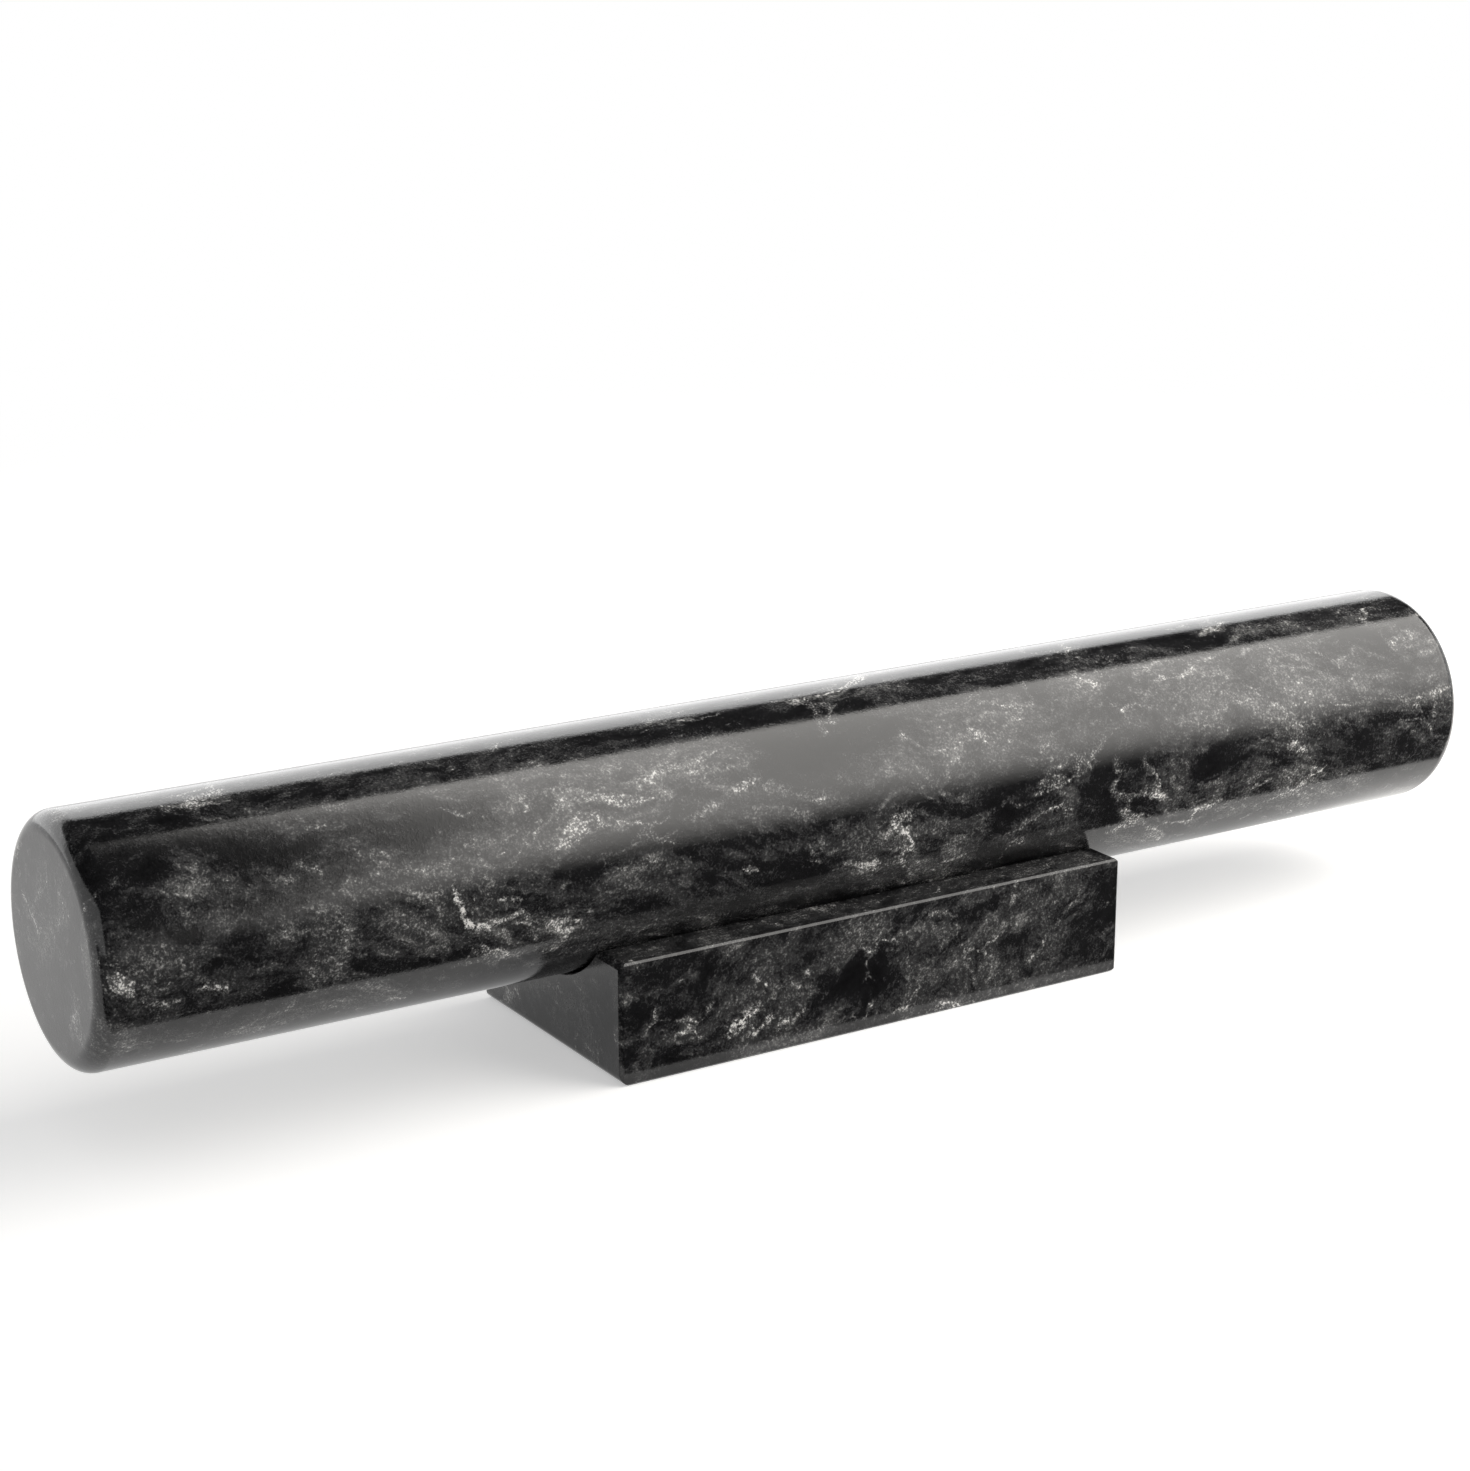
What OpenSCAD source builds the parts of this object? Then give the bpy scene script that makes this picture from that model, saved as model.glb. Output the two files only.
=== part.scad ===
// Marble rolling pin without handles, lying in the groove of its marble stand
// X runs along the pin, Z is up, and the origin is under the middle of the stand

/* [Rolling pin] */
// Length of the pin, end to end
pin_length = 400; // [280:5:460]
// Diameter of the rolling surface
pin_diameter = 60; // [44:1:66]
// Radius of the rounding between the rolling surface and each flat end
pin_end_round = 5; // [1:0.5:12]

/* [Stand] */
// Length of the stand, along the pin
stand_length = 150; // [90:5:240]
// Width of the stand, across the pin
stand_width = 70; // [60:1:100]
// Height of the stand, to the top of its two rails
stand_height = 31; // [24:1:50]

/* [Groove] */
// Depth of the groove at its middle, below the rails
groove_depth = 11.6; // [6:0.2:16]
// How much larger the groove's radius is than the pin's
groove_ease = 0.5; // [0.3:0.1:2]
// Gap left under the pin where it lies in the groove
seat_gap = 0.3; // [0.2:0.1:0.6]

/* [Edges] */
// Flat ground along the top edge of each end of the stand
top_end_chamfer = 1.5; // [0.4:0.1:3]
// Radius worked along the bottom edge of each end of the stand
bottom_end_round = 3; // [0.5:0.5:6]
// Flat along the four long edges of the stand
long_edge_bevel = 0.5; // [0.2:0.1:2]
// Flat down the four upright edges of the stand
upright_bevel = 1; // [0.3:0.1:3]
// Width of the flat where the groove meets each rail
groove_edge_bevel = 0.7; // [0.3:0.1:2]
// Flat around the groove's curved edge at each end of the stand
groove_mouth_bevel = 0.4; // [0.2:0.1:1.5]

/* [Hidden] */
$fn = 144;
marble = [0.2, 0.2, 0.21];
// Extra reach of a cutter past the face that it cuts
over = 1;

pin_radius = pin_diameter / 2;
groove_radius = pin_radius + groove_ease;
groove_floor = stand_height - groove_depth;
groove_axis_height = groove_floor + groove_radius;
pin_axis_height = groove_floor + seat_gap + pin_radius;

// Where the groove's wall meets the top of a rail: how far out, and how steep the wall is there
groove_half_width = sqrt(pow(groove_radius, 2) - pow(groove_axis_height - stand_height, 2));
groove_wall_slope = asin(groove_half_width / groove_radius);

// What comes off a square corner at the origin when it is rounded
module corner_waste(radius) {
    difference() {
        translate([-over, -over]) square(radius + over);
        translate([radius, radius]) circle(radius);
    }
}

// Half of the pin's section, from its axis out to the rolling surface
module pin_half_section() {
    difference() {
        translate([0, -pin_length / 2]) square([pin_radius, pin_length]);
        translate([pin_radius, -pin_length / 2]) mirror([1, 0]) corner_waste(pin_end_round);
        translate([pin_radius, pin_length / 2]) rotate(180) corner_waste(pin_end_round);
    }
}

module rolling_pin() {
    color(marble)
        translate([0, 0, pin_axis_height])
            rotate([0, 90, 0])
                rotate_extrude() pin_half_section();
}

// Outline of the block seen along Y: ground flats on the top corners, rounded bottom corners
module side_outline() {
    half = stand_length / 2;
    difference() {
        polygon([
            [-half, 0],
            [-half, stand_height - top_end_chamfer],
            [-half + top_end_chamfer, stand_height],
            [half - top_end_chamfer, stand_height],
            [half, stand_height - top_end_chamfer],
            [half, 0],
        ]);
        translate([-half, 0]) corner_waste(bottom_end_round);
        translate([half, 0]) mirror([1, 0]) corner_waste(bottom_end_round);
    }
}

// A rectangle about the origin with the same flat on all four corners
module bevelled_rectangle(width, depth, bevel) {
    x = width / 2;
    y = depth / 2;
    polygon([
        [-x, -y + bevel], [-x, y - bevel], [-x + bevel, y], [x - bevel, y],
        [x, y - bevel], [x, -y + bevel], [x - bevel, -y], [-x + bevel, -y],
    ]);
}

// What is ground off the edge between a rail's top and the groove's wall, on one side
module groove_edge_cut(side) {
    half_slope = groove_wall_slope / 2;
    cut_depth = groove_edge_bevel / 2 * tan(half_slope);
    block = 2 * groove_edge_bevel;
    translate([side * groove_half_width, stand_height])
        rotate(side * half_slope)
            translate([-block / 2, -cut_depth]) square(block);
}

// Outline of the block seen along X: the groove between its two rails
module end_outline() {
    difference() {
        translate([0, stand_height / 2])
            bevelled_rectangle(stand_width, stand_height, long_edge_bevel);
        translate([0, groove_axis_height]) circle(groove_radius);
        for (side = [-1, 1]) groove_edge_cut(side);
    }
}

// The groove's curved edge opens out in a narrow cone at each end of the stand
module groove_mouth_cut(end) {
    translate([end * stand_length / 2, 0, groove_axis_height])
        rotate([0, -end * 90, 0])
            translate([0, 0, -over])
                cylinder(h = over + groove_mouth_bevel,
                         r1 = groove_radius + groove_mouth_bevel + over,
                         r2 = groove_radius);
}

module stand() {
    color(marble)
        difference() {
            intersection() {
                rotate([90, 0, 90]) linear_extrude(stand_length, center = true) end_outline();
                rotate([90, 0, 0]) linear_extrude(stand_width, center = true) side_outline();
                linear_extrude(stand_height)
                    bevelled_rectangle(stand_length, stand_width, upright_bevel);
            }
            for (end = [-1, 1]) groove_mouth_cut(end);
        }
}

rolling_pin();
stand();
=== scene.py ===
from math import asin, cos, pi, radians, sin, sqrt, tan

import bpy
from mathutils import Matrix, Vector


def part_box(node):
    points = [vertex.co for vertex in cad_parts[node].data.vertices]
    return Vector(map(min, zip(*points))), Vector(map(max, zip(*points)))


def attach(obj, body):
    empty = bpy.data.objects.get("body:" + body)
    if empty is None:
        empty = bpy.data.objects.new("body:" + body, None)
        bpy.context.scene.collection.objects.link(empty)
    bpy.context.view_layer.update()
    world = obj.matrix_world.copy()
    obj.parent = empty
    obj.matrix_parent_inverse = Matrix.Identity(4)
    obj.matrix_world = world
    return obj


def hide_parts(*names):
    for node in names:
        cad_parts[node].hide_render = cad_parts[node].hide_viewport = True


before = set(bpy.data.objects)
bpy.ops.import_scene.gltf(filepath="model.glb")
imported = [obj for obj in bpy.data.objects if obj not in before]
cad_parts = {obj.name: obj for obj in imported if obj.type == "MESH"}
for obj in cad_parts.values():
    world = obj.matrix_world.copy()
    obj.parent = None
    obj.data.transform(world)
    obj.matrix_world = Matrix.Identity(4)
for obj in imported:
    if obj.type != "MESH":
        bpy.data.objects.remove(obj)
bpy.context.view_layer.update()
mm = 0.001  # every dictionary below is in millimetres and degrees

pinLow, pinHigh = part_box("rolling_pin")
standLow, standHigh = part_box("stand")
pinRadius = (pinHigh.z - pinLow.z) / 2
pinAxis = (pinHigh.z + pinLow.z) / 2


# One output socket of a node tree, which Python's own signs can work on
class Wire:
    def __init__(self, tree, socket=None):
        self.tree = tree
        self.socket = socket

    # adds a node: its settings first, then the values or wires of its inputs
    def node(self, kind, settings=None, inputs=None, output=0):
        made = self.tree.nodes.new("ShaderNode" + kind)
        for name, value in (settings or {}).items():
            if name == "stops":
                self.fillRamp(made.color_ramp, value)
            else:
                setattr(made, name, value)
        for name, value in (inputs or {}).items():
            if isinstance(value, Wire):
                self.tree.links.new(value.socket, made.inputs[name])
            else:
                made.inputs[name].default_value = value
        return Wire(self.tree, made.outputs[output] if made.outputs else None)

    def fillRamp(self, ramp, stops):
        while len(ramp.elements) < len(stops):
            ramp.elements.new(1.0)
        for element, (place, colour) in zip(ramp.elements, stops):
            element.position = place
            element.color = (*colour, 1.0)

    def maths(self, operation, *values):
        return self.node("Math", {"operation": operation}, dict(enumerate(values)))

    def __add__(self, other):
        return self.maths("ADD", self, other)

    def __radd__(self, other):
        return self.maths("ADD", other, self)

    def __sub__(self, other):
        return self.maths("SUBTRACT", self, other)

    def __rsub__(self, other):
        return self.maths("SUBTRACT", other, self)

    def __mul__(self, other):
        return self.maths("MULTIPLY", self, other)

    def __rmul__(self, other):
        return self.maths("MULTIPLY", other, self)

    def __truediv__(self, other):
        return self.maths("DIVIDE", self, other)

    def __rtruediv__(self, other):
        return self.maths("DIVIDE", other, self)

    def __abs__(self):
        return self.maths("ABSOLUTE", self)

    # 0 below low and 1 above high, with a soft change between them
    def step(self, low, high):
        settings = {"interpolation_type": "SMOOTHSTEP"}
        return self.node("MapRange", settings, {"Value": self, "From Min": low, "From Max": high})

    # works on vectors: the second one is a wire or three numbers
    def vector(self, operation, other=None, output=0, scale=None):
        inputs = {0: self}
        if other is not None:
            inputs[1] = other
        if scale is not None:
            inputs["Scale"] = scale
        return self.node("VectorMath", {"operation": operation}, inputs, output)

    # noise whose features are about size millimetres across, drawn out along stretch
    def noise(self, size, detail, roughness, stretch=(1, 1, 1), turn=(0, 0, 0), shift=0.0, output=0):
        place = self.node("Mapping", {"vector_type": "TEXTURE"}, {
            "Vector": self,
            "Rotation": [radians(angle) for angle in turn],
        })
        place = place.vector("MULTIPLY", [1 / (size * share) for share in stretch])
        return self.node("TexNoise", {"noise_dimensions": "3D"}, {
            "Vector": place.vector("ADD", (shift, shift, shift)),
            "Scale": 1.0,
            "Detail": detail,
            "Roughness": roughness,
        }, output)

    # moves each point by up to half of depth each way, differently from place to place
    def pushed(self, noise, depth):
        push = noise.vector("SUBTRACT", (0.5, 0.5, 0.5)).vector("SCALE", scale=depth)
        return self.vector("ADD", push)


# A new material or world with no nodes in it, and the wire to start its nodes from
def emptyNodes(owner):
    owner.use_nodes = True
    owner.node_tree.nodes.clear()
    return Wire(owner.node_tree)


# Marble: the tone picks the colour, from black ground to white crystal
marbleTones = [
    (0.00, (0.0025, 0.0025, 0.0028)),
    (0.25, (0.0120, 0.0120, 0.0128)),
    (0.45, (0.0480, 0.0480, 0.0490)),
    (0.66, (0.1500, 0.1490, 0.1460)),
    (0.86, (0.4200, 0.4150, 0.4060)),
    (1.00, (0.7200, 0.7100, 0.6900)),
]

# What the pin's stone and the stand's have in common
marbleGrain = {
    "crumpleSize": 3.0,
    "crumpleDepth": 4.0,  # how far it breaks up streaks, veins and flecks
    "creaseDepth": 3.4,  # and how far the crystals picked out one by one
    "mottleSize": 6.5,
    "mottleStretch": (1.8, 1, 1),
    "saltSize": 0.55,
    "pepperSize": 1.3,
    "veinGapSize": 17.0,
    "fleckSize": 1.9,
    "fleckStretch": (1.7, 1, 1),
    "raggedSize": 2.6,
    "ragged": 6.5,
    "relief": 0.05,
    "refraction": 1.5,
}


# How near the stone is to a vein that runs from start to end, ragged at its sides
def crystal(stone, ragged, start, end, width, strength):
    along = Vector(end) - Vector(start)
    away = stone.vector("SUBTRACT", start)
    share = away.vector("DOT_PRODUCT", tuple(along), output="Value") / along.length_squared
    share = share.maths("MAXIMUM", share, 0.0)
    share = share.maths("MINIMUM", share, 1.0)
    nearest = share.node("CombineXYZ", None, {0: share, 1: share, 2: share})
    nearest = nearest.vector("MULTIPLY", tuple(along))
    gap = away.vector("SUBTRACT", nearest).vector("LENGTH", output="Value") + ragged * width
    return (1 - gap.step(0.25 * width, 1.1 * width)) * strength


def marble(name, look, crystals):
    material = bpy.data.materials.new(name)
    start = emptyNodes(material)
    grain = marbleGrain
    turn = look["turn"]
    cloudStretch = look["cloudStretch"]

    # the stone is folded in large bends, and crumpled in small ones
    stone = start.node("TexCoord", output="Object").vector("SCALE", scale=1 / mm)
    crumple = stone.noise(grain["crumpleSize"], 4.0, 0.6, output="Color")
    folded = stone.pushed(stone.noise(look["foldSize"], 3.0, 0.5, output="Color"), look["foldDepth"])
    broken = folded.pushed(crumple, grain["crumpleDepth"])
    creased = stone.pushed(crumple, grain["creaseDepth"])

    # big shapes: pale clouds, black hollows and long streaks
    cloud = folded.noise(look["cloudSize"], 9.0, 0.62, cloudStretch, turn).step(0.38, 0.62)
    hollow = folded.noise(look["hollowSize"], 6.0, 0.58, cloudStretch, turn, 7.3).step(0.50, 0.62)
    streak = broken.noise(look["streakSize"], 5.0, 0.6, look["streakStretch"], turn, 3.1)
    streak = streak.step(0.52, 0.64)
    mottle = folded.noise(grain["mottleSize"], 8.0, 0.72, grain["mottleStretch"], turn, 1.7)
    mottle = mottle.step(0.34, 0.66)

    # fine salt over everything, thickest where the stone is pale
    salt = stone.noise(grain["saltSize"], 2.0, 0.6, shift=5.0).step(0.44, 0.70)
    pepper = stone.noise(grain["pepperSize"], 3.0, 0.7, shift=9.0).step(0.38, 0.68)
    tone = look["ground"] + cloud * look["cloud"] + mottle * look["mottle"] + streak * look["streak"]
    tone = tone * (1 - hollow * look["hollow"])
    tone = tone * (0.66 + salt * 0.34 + pepper * 0.20)
    tone = tone + salt * pepper * look["salt"] + mottle * look["haze"]

    # thin pale veins, broken off wherever their own mask is low, and small flecks
    line = broken.noise(look["veinSize"], 3.0, 0.55, cloudStretch, turn, 12.5)
    line = 1 - abs(line - 0.5).step(0.001, look["veinWidth"])
    shown = folded.noise(grain["veinGapSize"], 4.0, 0.6, shift=21.0).step(0.49, 0.60)
    vein = line * shown * (0.45 + salt * 0.75)
    fleck = broken.noise(grain["fleckSize"], 3.0, 0.6, grain["fleckStretch"], turn, 31.0)
    fleck = fleck.step(0.64, 0.76) * (0.25 + cloud * 0.75) * (0.3 + pepper)
    tone = tone + vein * look["vein"] + fleck * look["fleck"]

    # the crystals picked out one by one
    ragged = abs(stone.noise(grain["raggedSize"], 5.0, 0.72, shift=14.0) - 0.5) * grain["ragged"]
    sparkle = 0.35 + salt * 0.45 + pepper * 0.5
    for place in crystals:
        tone = tone + crystal(creased, ragged, *place) * sparkle

    # polish: pale stone and veins take a little less of it
    relief = mottle * 0.5 + pepper * 0.3 + salt * 0.2
    normal = start.node("Bump", None, {
        "Strength": look["bump"],
        "Distance": grain["relief"] * mm,
        "Height": relief,
    })
    surface = start.node("BsdfPrincipled", None, {
        "Base Color": start.node("ValToRGB", {"stops": marbleTones}, {"Fac": tone}),
        "Roughness": look["roughness"] + mottle * 0.04 + vein * 0.10,
        "IOR": grain["refraction"],
        "Specular IOR Level": look["specular"],
        "Normal": normal,
    })
    start.node("OutputMaterial", None, {"Surface": surface})
    return material


def startFresh():
    if bpy.context.object and bpy.context.object.mode != "OBJECT":
        bpy.ops.object.mode_set(mode="OBJECT")
    bpy.ops.object.select_all(action="DESELECT")


# Names the new primitive, and puts its place and turn into its mesh
def settle(name):
    piece = bpy.context.object
    piece.name = name
    piece.data.name = name
    bpy.ops.object.transform_apply(location=True, rotation=True, scale=True)
    return piece


def cutAway(piece, cutter):
    cut = piece.modifiers.new("cut", "BOOLEAN")
    cut.operation = "DIFFERENCE"
    cut.solver = "EXACT"
    cut.object = cutter
    bpy.context.view_layer.objects.active = piece
    bpy.ops.object.modifier_apply(modifier=cut.name)
    bpy.data.objects.remove(cutter)


# Closes doubles, turns faces outwards and keeps flat faces flat beside rounded ones
def finishStone(piece, angle):
    startFresh()
    piece.select_set(True)
    bpy.context.view_layer.objects.active = piece
    bpy.ops.object.mode_set(mode="EDIT")
    bpy.ops.mesh.select_all(action="SELECT")
    bpy.ops.mesh.remove_doubles(threshold=0.002 * mm)
    bpy.ops.mesh.normals_make_consistent(inside=False)
    bpy.ops.object.mode_set(mode="OBJECT")
    bpy.ops.object.shade_smooth_by_angle(angle=radians(angle))
    even = piece.modifiers.new("even", "WEIGHTED_NORMAL")
    even.keep_sharp = True
    bpy.ops.object.modifier_apply(modifier=even.name)


# Rolling pin
pin = {
    "sides": 256,
    "endRound": 5.0,
    "roundSteps": 12,
    "rimAngle": 40,  # an edge sharper than this is the rim of a flat end
    "rings": 3,  # rings laid into each flat end
    "ringWidth": 6.0,
    "smoothAngle": 25,
}

pinLook = {
    "foldSize": 48.0,
    "foldDepth": 26.0,
    "cloudSize": 21.0,
    "cloudStretch": (2.6, 1, 1),
    "hollowSize": 24.0,
    "streakSize": 2.6,
    "streakStretch": (6.5, 1, 1),
    "turn": (0, 12, 9),
    "veinSize": 30.0,
    "veinWidth": 0.022,
    "ground": 0.15,
    "cloud": 0.24,
    "mottle": 0.23,
    "streak": 0.17,
    "hollow": 0.62,
    "vein": 0.46,
    "fleck": 0.40,
    "roughness": 0.07,
    "salt": 0.13,
    "haze": 0.07,
    "bump": 0.35,
    "specular": 0.5,
}


# A place on the rolling surface: millimetres along it, and degrees up from its front
def onPin(x, angle):
    radius = pinRadius / mm
    return (x, -radius * cos(radians(angle)), pinAxis / mm + radius * sin(radians(angle)))


# The white crystal that can be picked out by eye: from, to, width, strength
pinCrystals = [
    (onPin(-115, 12), onPin(-112, -6), 1.5, 0.75),
    (onPin(-112, -6), onPin(-106, -9), 1.7, 0.80),
    (onPin(-106, -9), onPin(-97, -4), 1.1, 0.65),
    (onPin(-104, 3), onPin(-98, 1), 0.9, 0.55),
    (onPin(-88, -13), onPin(-82, -15), 1.6, 0.45),
    (onPin(-37, -6), onPin(-33, -9), 1.6, 0.60),
    (onPin(-50, 22), onPin(-30, 36), 2.2, 0.34),
    (onPin(-33, 34), onPin(-13, 20), 2.6, 0.36),
    (onPin(-60, 44), onPin(-38, 52), 2.0, 0.28),
    (onPin(74, 60), onPin(83, 32), 0.9, 0.62),
    (onPin(77, 52), onPin(82, 58), 0.7, 0.45),
    (onPin(34, 40), onPin(38, 34), 1.8, 0.42),
    (onPin(45, 52), onPin(52, 46), 1.4, 0.36),
    (onPin(127, -42), onPin(150, -14), 0.9, 0.62),
    (onPin(133, -30), onPin(141, -26), 0.8, 0.45),
    (onPin(181, 14), onPin(190, -8), 1.0, 0.50),
    (onPin(-176, -10), onPin(-171, -13), 1.7, 0.60),
    (onPin(-190, -13), onPin(-182, -15), 0.9, 0.50),
    (onPin(-150, 34), onPin(-146, 30), 1.5, 0.38),
    (onPin(20, -26), onPin(34, -22), 0.8, 0.42),
    ((-200, -14, 38), (-200, -6, 28), 3.2, 0.26),
    ((-200, 6, 60), (-200, 14, 52), 1.6, 0.24),
    ((-200, -20, 56), (-200, -4, 66), 0.8, 0.26),
    (onPin(-60, 128), onPin(-34, 142), 1.2, 0.55),
    (onPin(96, 168), onPin(112, 150), 1.4, 0.50),
]


def makePin():
    startFresh()
    bpy.ops.mesh.primitive_cylinder_add(
        vertices=pin["sides"],
        radius=pinRadius,
        depth=pinHigh.x - pinLow.x,
        location=((pinHigh.x + pinLow.x) / 2, 0, pinAxis),
        rotation=(0, pi / 2, 0),
    )
    piece = settle("rollingPinMarble")

    rim = piece.modifiers.new("rim", "BEVEL")
    rim.width = pin["endRound"] * mm
    rim.segments = pin["roundSteps"]
    rim.limit_method = "ANGLE"
    rim.angle_limit = radians(pin["rimAngle"])
    bpy.ops.object.modifier_apply(modifier=rim.name)

    # rings keep the middle of each flat end flat beside its round
    bpy.ops.object.mode_set(mode="EDIT")
    bpy.ops.mesh.select_all(action="DESELECT")
    bpy.ops.object.mode_set(mode="OBJECT")
    for face in piece.data.polygons:
        face.select = abs(face.normal.x) > 0.9999
    bpy.ops.object.mode_set(mode="EDIT")
    for ring in range(pin["rings"]):
        bpy.ops.mesh.inset(thickness=pin["ringWidth"] * mm)
    bpy.ops.object.mode_set(mode="OBJECT")

    finishStone(piece, pin["smoothAngle"])
    piece.data.materials.append(marble("polishedPinMarble", pinLook, pinCrystals))
    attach(piece, "pin")
    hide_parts("rolling_pin")


# Stand
stand = {
    "grooveRadius": 30.5,
    "grooveAxis": 49.9,
    "topEndFlat": 1.5,
    "bottomEndRound": 3.0,
    "bottomSteps": 8,
    "longEdgeFlat": 0.5,
    "uprightFlat": 1.0,
    "grooveEdgeFlat": 0.7,
    "mouthFlat": 0.4,
    "cutterSides": 256,
    "cutterLength": 180,
    "over": 1,  # how far the mouth's cutters stand out past the ends
    "smoothAngle": 18,
}

standLook = {
    "foldSize": 30.0,
    "foldDepth": 24.0,
    "cloudSize": 17.0,
    "cloudStretch": (1.3, 1, 1),
    "hollowSize": 19.0,
    "streakSize": 2.4,
    "streakStretch": (3.0, 1, 1),
    "turn": (0, -28, 14),
    "veinSize": 22.0,
    "veinWidth": 0.026,
    "ground": 0.15,
    "cloud": 0.22,
    "mottle": 0.21,
    "streak": 0.15,
    "hollow": 0.66,
    "vein": 0.50,
    "fleck": 0.36,
    "roughness": 0.10,
    "salt": 0.10,
    "haze": 0.07,
    "bump": 0.35,
    "specular": 0.45,
}

standFront = standLow.y / mm
standLeft = standLow.x / mm
standCrystals = [
    ((-45, standFront, 8), (-37, standFront, 12), 2.6, 0.70),
    ((-39, standFront, 6), (-33, standFront, 9), 1.8, 0.60),
    ((-31, standFront, 6), (-23, standFront, 9), 1.7, 0.62),
    ((-38, standFront, 21), (-34, standFront, 18), 1.0, 0.55),
    ((2, standFront, 2.5), (8, standFront, 4), 1.2, 0.60),
    ((9, standFront, 6), (13, standFront, 9), 0.8, 0.45),
    ((24, standFront, 17), (34, standFront, 12), 0.7, 0.50),
    ((30, standFront, 14), (36, standFront, 17), 0.6, 0.45),
    ((46, standFront, 8), (62, standFront, 24), 1.2, 0.26),
    ((standLeft, -6, 16), (standLeft, 2, 14), 2.4, 0.36),
    ((standLeft, 16, 6), (standLeft, 28, 20), 0.9, 0.34),
    ((-30, 26, 31), (-12, 31, 31), 1.0, 0.40),
    ((20, 35, 8), (34, 35, 18), 1.3, 0.50),
]


# Takes off all that lies beyond a plane, and closes the stone there
def cutFlat(point, normal):
    bpy.ops.mesh.select_all(action="SELECT")
    bpy.ops.mesh.bisect(
        plane_co=[value * mm for value in point],
        plane_no=normal,
        use_fill=True,
        clear_outer=True,
    )


def grindEdges(halfX, halfY, top):
    bpy.ops.object.mode_set(mode="EDIT")
    for end in (-1, 1):
        cutFlat((end * (halfX - stand["topEndFlat"]), 0, top), (end, 0, 1))
        rounding = stand["bottomEndRound"]
        for number in range(stand["bottomSteps"]):
            turn = (number + 0.5) / stand["bottomSteps"] * pi / 2
            touch = end * (halfX - rounding + rounding * cos(turn))
            cutFlat((touch, 0, rounding - rounding * sin(turn)), (end * cos(turn), 0, -sin(turn)))
        for side in (-1, 1):
            cutFlat((end * halfX, side * (halfY - stand["uprightFlat"]), 0), (end, side, 0))
    for side in (-1, 1):
        cutFlat((0, side * halfY, stand["longEdgeFlat"]), (0, side, -1))
        cutFlat((0, side * halfY, top - stand["longEdgeFlat"]), (0, side, 1))
    bpy.ops.object.mode_set(mode="OBJECT")


def cutGroove(piece):
    startFresh()
    bpy.ops.mesh.primitive_cylinder_add(
        vertices=stand["cutterSides"],
        radius=stand["grooveRadius"] * mm,
        depth=stand["cutterLength"] * mm,
        location=(0, 0, stand["grooveAxis"] * mm),
        rotation=(0, pi / 2, 0),
    )
    cutAway(piece, settle("grooveCutter"))


# The flats along the groove's two arrises lean halfway between the rail and the groove's wall
def easeArrises(piece, top):
    halfGroove = sqrt(stand["grooveRadius"] ** 2 - (stand["grooveAxis"] - top) ** 2)
    lean = asin(halfGroove / stand["grooveRadius"]) / 2
    block = 2 * stand["grooveEdgeFlat"]
    lift = (block - stand["grooveEdgeFlat"] * tan(lean)) / 2
    for side in (-1, 1):
        startFresh()
        bpy.ops.mesh.primitive_cube_add(
            size=1,
            location=(0, side * (halfGroove - lift * sin(lean)) * mm, (top + lift * cos(lean)) * mm),
            rotation=(side * lean, 0, 0),
            scale=(stand["cutterLength"] * mm, block * mm, block * mm),
        )
        cutAway(piece, settle("arrisCutter"))


# A narrow cone opens the groove's curved edge at each end
def openMouths(piece, halfX):
    reach = stand["mouthFlat"] + stand["over"]
    for end in (-1, 1):
        startFresh()
        bpy.ops.mesh.primitive_cone_add(
            vertices=stand["cutterSides"],
            radius1=(stand["grooveRadius"] + reach) * mm,
            radius2=stand["grooveRadius"] * mm,
            depth=reach * mm,
            location=(end * (halfX + stand["over"] - reach / 2) * mm, 0, stand["grooveAxis"] * mm),
            rotation=(0, -end * pi / 2, 0),
        )
        cutAway(piece, settle("mouthCutter"))


def makeStand():
    size = (standHigh - standLow) / mm
    startFresh()
    bpy.ops.mesh.primitive_cube_add(size=1, location=(standLow + standHigh) / 2, scale=size * mm)
    piece = settle("standMarble")
    grindEdges(size.x / 2, size.y / 2, size.z)
    cutGroove(piece)
    easeArrises(piece, size.z)
    openMouths(piece, size.x / 2)

    finishStone(piece, stand["smoothAngle"])
    piece.data.materials.append(marble("groundStandMarble", standLook, standCrystals))
    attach(piece, "stand")
    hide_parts("stand")


# Studio
white = (1, 1, 1, 1)
studio = {
    "floorSize": 16000,
    "floorColour": (0.80, 0.80, 0.80, 1),
    "floorLift": 0.42,
    "whiteFrom": 300,  # the floor turns plain white between these two distances
    "whiteTo": 950,
    "worldLight": 0.45,
    "backLight": 2.2,
    "flagColour": (0.004, 0.004, 0.004, 1),
}

# A softbox to the right, from low in front to over the object: its left and lower edges fade
softbox = {
    "light": 4.0,
    "colour": (1.0, 0.975, 0.935, 1),
    "corners": [(40, 180, 900), (1500, 180, 900), (1500, -1000, 50), (40, -1000, 50)],
    "leftFade": (40, 260),
    "lowFade": (60, 420),
    "lowLight": 0.12,
}

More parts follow.
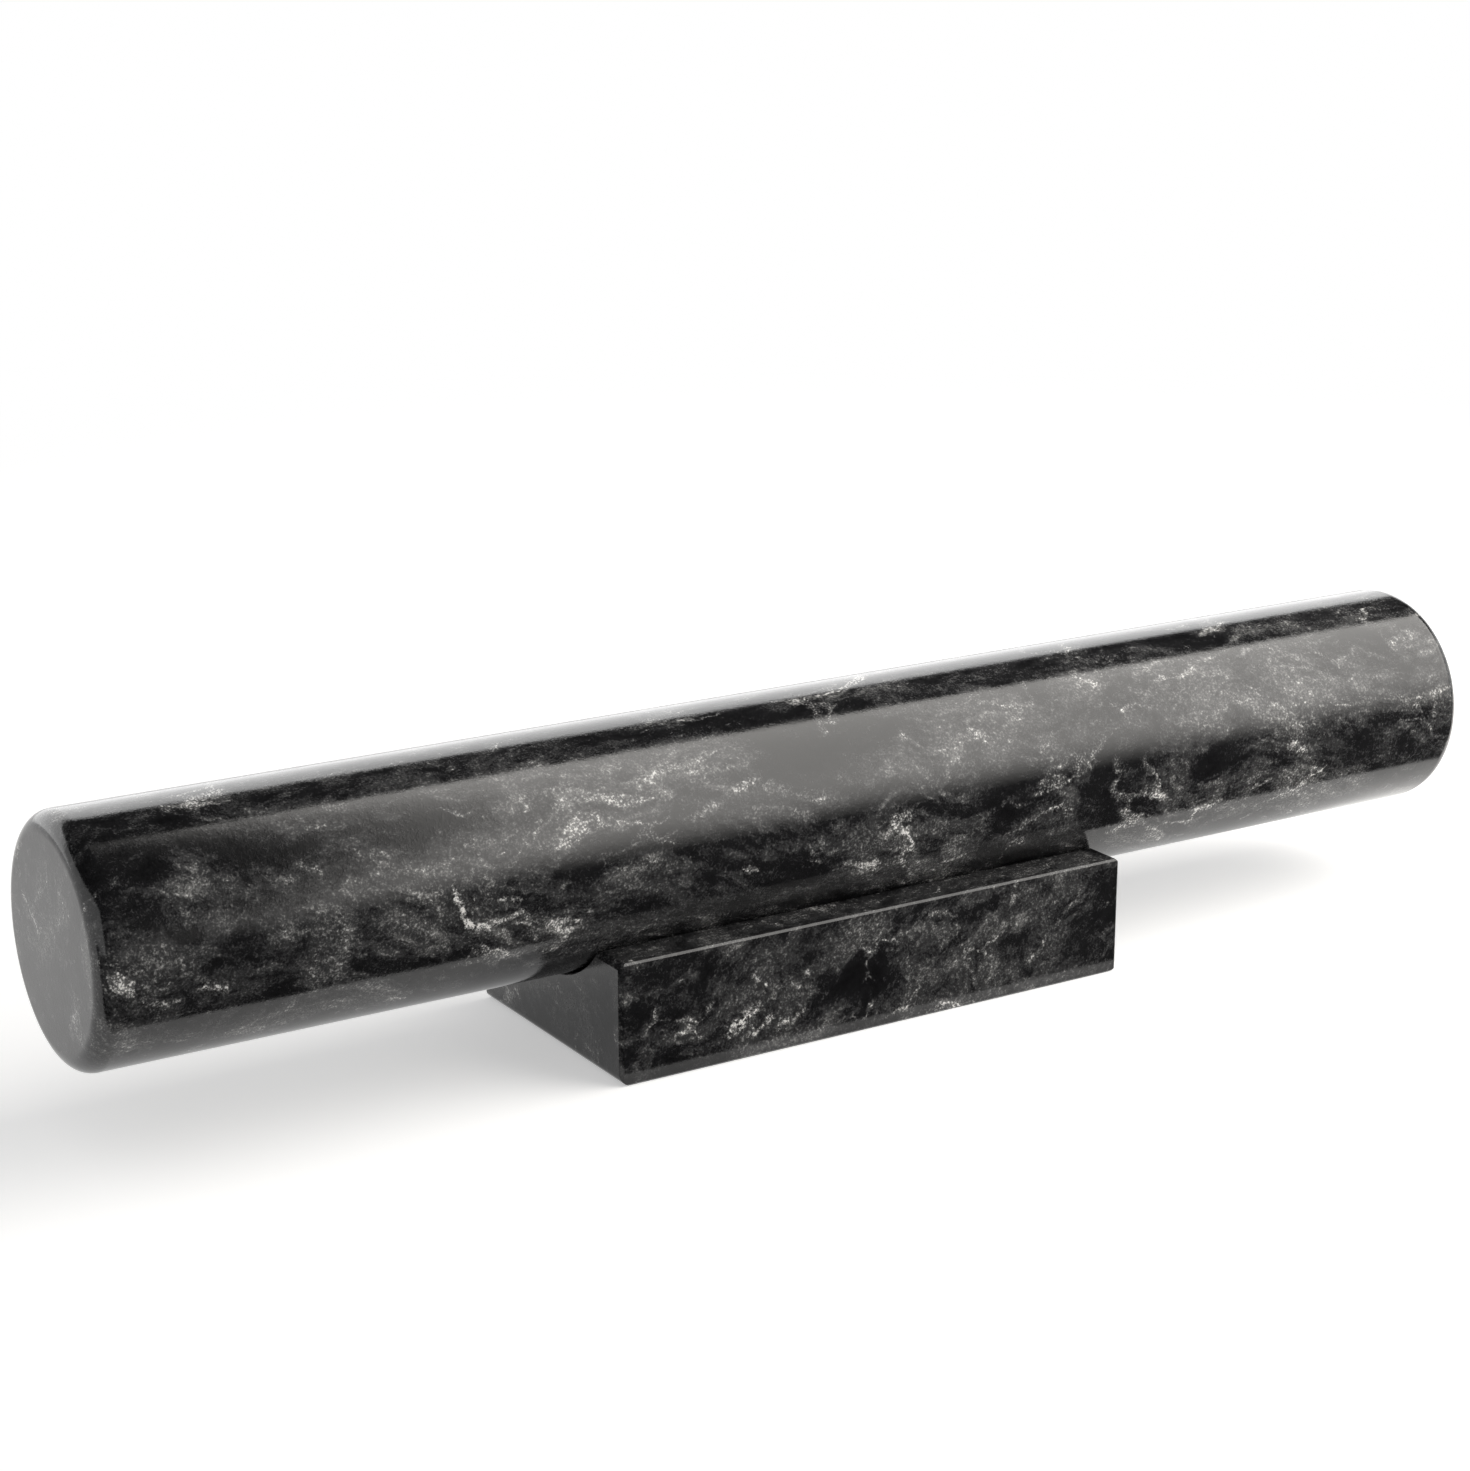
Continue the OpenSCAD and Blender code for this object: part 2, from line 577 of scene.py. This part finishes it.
# Cards that only the stone's polish shows: dark ones keep its black black, and the bright one
# behind draws the pale rim along the top of the pin
darkCards = {
    "ceilingFlag": [(-1800, 181, 902), (2600, 181, 902), (2600, 1000, 700), (-1800, 800, 880)],
    "floorFlag": [(-1800, -1600, 0.8), (2600, -1600, 0.8), (2600, -40, 0.8), (-1800, -40, 0.8)],
    "frontFlag": [(-1800, -1600, 0), (2600, -1600, 0), (2600, -1600, 1700), (-1800, -1600, 1700)],
    "overheadFlag": [(-1800, -1600, 1600), (2600, -1600, 1600), (2600, 182, 910), (-1800, 182, 910)],
}
brightCards = {
    "backCard": [(-3000, 2600, 0), (4200, 2600, 0), (4200, 2600, 3000), (-3000, 2600, 3000)],
}


# A card through four corners, which the camera doesn't see
def card(name, corners, material):
    startFresh()
    bpy.ops.mesh.primitive_plane_add(size=1)
    made = settle(name)
    cornerOrder = [0, 1, 3, 2]  # a new plane counts its corners row by row
    for vertex, number in zip(made.data.vertices, cornerOrder):
        vertex.co = [value * mm for value in corners[number]]
    made.data.materials.append(material)
    made.visible_camera = False
    made.visible_transmission = False
    return made


# 1 where the camera sees a place itself, or in polish or through glass, and 0 for plain light
def seenByCamera(start):
    camera = start.node("LightPath", output="Is Camera Ray")
    glossy = start.node("LightPath", output="Is Glossy Ray")
    clear = start.node("LightPath", output="Is Transmission Ray")
    seen = camera.maths("MAXIMUM", camera, glossy)
    return seen.maths("MAXIMUM", seen, clear)


def glow(start, colour, strength):
    return start.node("Emission", None, {"Color": colour, "Strength": strength})


def makeFloor():
    startFresh()
    bpy.ops.mesh.primitive_plane_add(size=studio["floorSize"] * mm)
    floor = settle("studioFloor")
    material = bpy.data.materials.new("paleFloor")
    start = emptyNodes(material)
    seen = seenByCamera(start)
    distance = start.node("TexCoord", output="Object").vector("LENGTH", output="Value")
    far = distance.step(studio["whiteFrom"] * mm, studio["whiteTo"] * mm)
    lit = start.node("BsdfDiffuse", None, {"Color": studio["floorColour"]})
    near = start.node("AddShader", None, {0: lit, 1: glow(start, white, seen * studio["floorLift"])})
    mixed = start.node("MixShader", None, {0: far * seen, 1: near, 2: glow(start, white, 1.0)})
    start.node("OutputMaterial", None, {"Surface": mixed})
    floor.data.materials.append(material)


def makeWorld():
    world = bpy.data.worlds.new("whiteStudio")
    bpy.context.scene.world = world
    start = emptyNodes(world)
    strength = studio["worldLight"] + seenByCamera(start) * (1 - studio["worldLight"])
    light = start.node("Background", None, {"Color": white, "Strength": strength})
    start.node("OutputWorld", None, {"Surface": light})


def makeSoftbox():
    material = bpy.data.materials.new("softboxCloth")
    start = emptyNodes(material)
    place = start.node("TexCoord", output="Object").vector("SCALE", scale=1 / mm)
    across = start.node("SeparateXYZ", None, {0: place}, "X").step(*softbox["leftFade"])
    up = start.node("SeparateXYZ", None, {0: place}, "Z").step(*softbox["lowFade"])
    strength = across * (softbox["lowLight"] + up * (1 - softbox["lowLight"])) * softbox["light"]
    start.node("OutputMaterial", None, {"Surface": glow(start, softbox["colour"], strength)})
    card("softbox", softbox["corners"], material)


def makeCards(cards, name, colour, strength):
    material = bpy.data.materials.new(name)
    start = emptyNodes(material)
    start.node("OutputMaterial", None, {"Surface": glow(start, colour, strength)})
    for cardName, corners in cards.items():
        made = card(cardName, corners, material)
        made.visible_diffuse = False
        made.visible_shadow = False
        made.visible_volume_scatter = False


# The photograph's viewpoint
view = {
    "lens": 75,
    "sensor": 36,
    "azimuth": -32,
    "elevation": 16.2,
    "distance": 775.4,
    "aim": (-15.3, 9.5, 67.1),
}


def makeCamera():
    data = bpy.data.cameras.new("photoCamera")
    data.lens = view["lens"]
    data.sensor_fit = "HORIZONTAL"
    data.sensor_width = view["sensor"]
    camera = bpy.data.objects.new("photoCamera", data)
    bpy.context.collection.objects.link(camera)
    around = radians(view["azimuth"])
    above = radians(view["elevation"])
    back = Vector((sin(around) * cos(above), -cos(around) * cos(above), sin(above)))
    camera.location = (Vector(view["aim"]) + back * view["distance"]) * mm
    camera.rotation_euler = (-back).to_track_quat("-Z", "Y").to_euler()
    bpy.context.scene.camera = camera


print("rolling pin")
makePin()
print("stand")
makeStand()
print("studio")
makeFloor()
makeWorld()
makeSoftbox()
makeCards(darkCards, "blackFlag", studio["flagColour"], 1.0)
makeCards(brightCards, "brightBackdrop", white, studio["backLight"])
makeCamera()
bpy.context.scene.view_settings.view_transform = "Standard"
